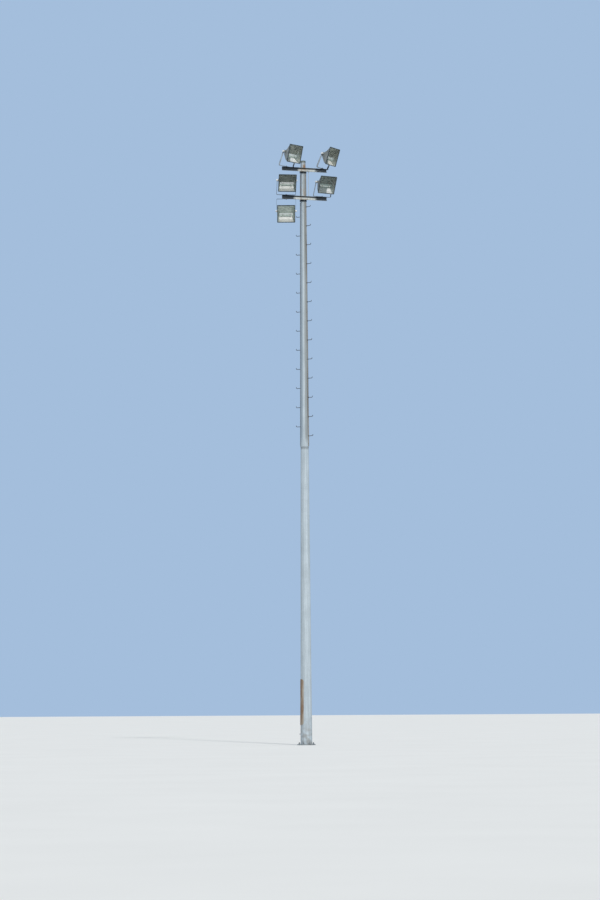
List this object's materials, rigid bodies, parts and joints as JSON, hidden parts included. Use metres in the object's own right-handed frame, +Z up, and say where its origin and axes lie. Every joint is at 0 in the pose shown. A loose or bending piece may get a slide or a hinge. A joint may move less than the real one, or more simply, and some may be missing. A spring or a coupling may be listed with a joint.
{
  "type": "stadium floodlight pylon",
  "caption": "Tapered steel lighting mast on a bolted foot flange, with clamped crossarms, step pegs and square floodlights that pan and tilt in yokes.",
  "frame": {"origin": "centre of the underside of the foot flange, on the mast's axis", "axes": "+Z up along the mast, +X to the right seen from the lit field, -Y towards the field"},
  "size_m": [2.0299, 1.1785, 18.5809],
  "materials": {
    "mast_zinc": "weathered hot-dip zinc, matt",
    "arm_zinc": "weathered hot-dip zinc, matt",
    "collar_steel": "dark grey paint, matt",
    "rail_steel": "brown-grey weathered steel, matt",
    "peg_steel": "dark weathered steel, matt",
    "door_steel": "rust-stained paint, matt",
    "conduit_steel": "pale zinc, matt",
    "yoke_steel": "zinc-plated flat bar, satin",
    "housing_aluminium": "weathered cast aluminium, matt",
    "frame_aluminium": "dark grey paint, satin",
    "front_glass": "toughened clear glass",
    "mirror_aluminium": "bright anodised sheet",
    "tube_ceramic": "frosted quartz and ceramic"
  },
  "bodies": {
    "mast": {"foot_flange": "mast_zinc", "mast_lower": "mast_zinc", "mast_upper": "mast_zinc", "mast_cap": "mast_zinc", "door_frame": "door_steel", "service_door": "door_steel", "step_rail_right": "rail_steel", "step_rail_left": "rail_steel", "step_pegs_right": "peg_steel", "step_pegs_left": "peg_steel", "crossarm_upper": "arm_zinc", "crossarm_lower": "arm_zinc", "arm_clamps": "arm_zinc", "support_collars": "collar_steel", "feed_conduit": "conduit_steel"},
    "upper_left_yoke_body": {"upper_left_yoke": "yoke_steel"},
    "upper_left_head": {"upper_left_housing": "housing_aluminium", "upper_left_front_frame": "frame_aluminium", "upper_left_glass": "front_glass", "upper_left_reflector": "mirror_aluminium", "upper_left_lamp_tube": "tube_ceramic"},
    "upper_right_yoke_body": {"upper_right_yoke": "yoke_steel"},
    "upper_right_head": {"upper_right_housing": "housing_aluminium", "upper_right_front_frame": "frame_aluminium", "upper_right_glass": "front_glass", "upper_right_reflector": "mirror_aluminium", "upper_right_lamp_tube": "tube_ceramic"},
    "lower_left_yoke_body": {"lower_left_yoke": "yoke_steel"},
    "lower_left_head": {"lower_left_housing": "housing_aluminium", "lower_left_front_frame": "frame_aluminium", "lower_left_glass": "front_glass", "lower_left_reflector": "mirror_aluminium", "lower_left_lamp_tube": "tube_ceramic"},
    "lower_right_yoke_body": {"lower_right_yoke": "yoke_steel"},
    "lower_right_head": {"lower_right_housing": "housing_aluminium", "lower_right_front_frame": "frame_aluminium", "lower_right_glass": "front_glass", "lower_right_reflector": "mirror_aluminium", "lower_right_lamp_tube": "tube_ceramic"},
    "hung_left_yoke_body": {"hung_left_yoke": "yoke_steel"},
    "hung_left_head": {"hung_left_housing": "housing_aluminium", "hung_left_front_frame": "frame_aluminium", "hung_left_glass": "front_glass", "hung_left_reflector": "mirror_aluminium", "hung_left_lamp_tube": "tube_ceramic"}
  },
  "joints": [
    {"name": "upper_left_pan", "type": "hinge", "parent": "mast", "child": "upper_left_yoke_body", "pos_m": [-0.52136, -0.31766, 17.957], "axis": [0, 0, 1], "range_deg": [-70.9, 19.1]},
    {"name": "upper_left_tilt", "type": "hinge", "parent": "upper_left_yoke_body", "child": "upper_left_head", "pos_m": [-0.38961, -0.45456, 18.3873], "axis": [0.7206, 0.6934, 0], "range_deg": [-25.5, 64.5]},
    {"name": "upper_right_pan", "type": "hinge", "parent": "mast", "child": "upper_right_yoke_body", "pos_m": [0.6085, 0.04946, 17.957], "axis": [0, 0, 1], "range_deg": [-83.5, 6.5]},
    {"name": "upper_right_tilt", "type": "hinge", "parent": "upper_right_yoke_body", "child": "upper_right_head", "pos_m": [0.76694, -0.05541, 18.3873], "axis": [0.5519, 0.8339, 0], "range_deg": [-28.7, 61.3]},
    {"name": "lower_left_pan", "type": "hinge", "parent": "mast", "child": "lower_left_yoke_body", "pos_m": [-0.53277, -0.32136, 17.061], "axis": [0, 0, 1], "range_deg": [-33.8, 56.2]},
    {"name": "lower_left_tilt", "type": "hinge", "parent": "lower_left_yoke_body", "child": "lower_left_head", "pos_m": [-0.51027, -0.51003, 17.4913], "axis": [0.993, 0.1184, 0], "range_deg": [-38, 52]},
    {"name": "lower_right_pan", "type": "hinge", "parent": "mast", "child": "lower_right_yoke_body", "pos_m": [0.59138, 0.0439, 17.061], "axis": [0, 0, 1], "range_deg": [-53.4, 36.6]},
    {"name": "lower_right_tilt", "type": "hinge", "parent": "lower_right_yoke_body", "child": "lower_right_head", "pos_m": [0.67586, -0.12629, 17.4913], "axis": [0.8957, 0.4446, 0], "range_deg": [-34.9, 55.1]},
    {"name": "hung_left_pan", "type": "hinge", "parent": "mast", "child": "hung_left_yoke_body", "pos_m": [-0.53277, -0.32136, 16.951], "axis": [0, 0, 1], "range_deg": [-27, 63]},
    {"name": "hung_left_tilt", "type": "hinge", "parent": "hung_left_yoke_body", "child": "hung_left_head", "pos_m": [-0.53277, -0.51136, 16.5207], "axis": [1, 0, 0], "range_deg": [-37.3, 52.7]}
  ]
}
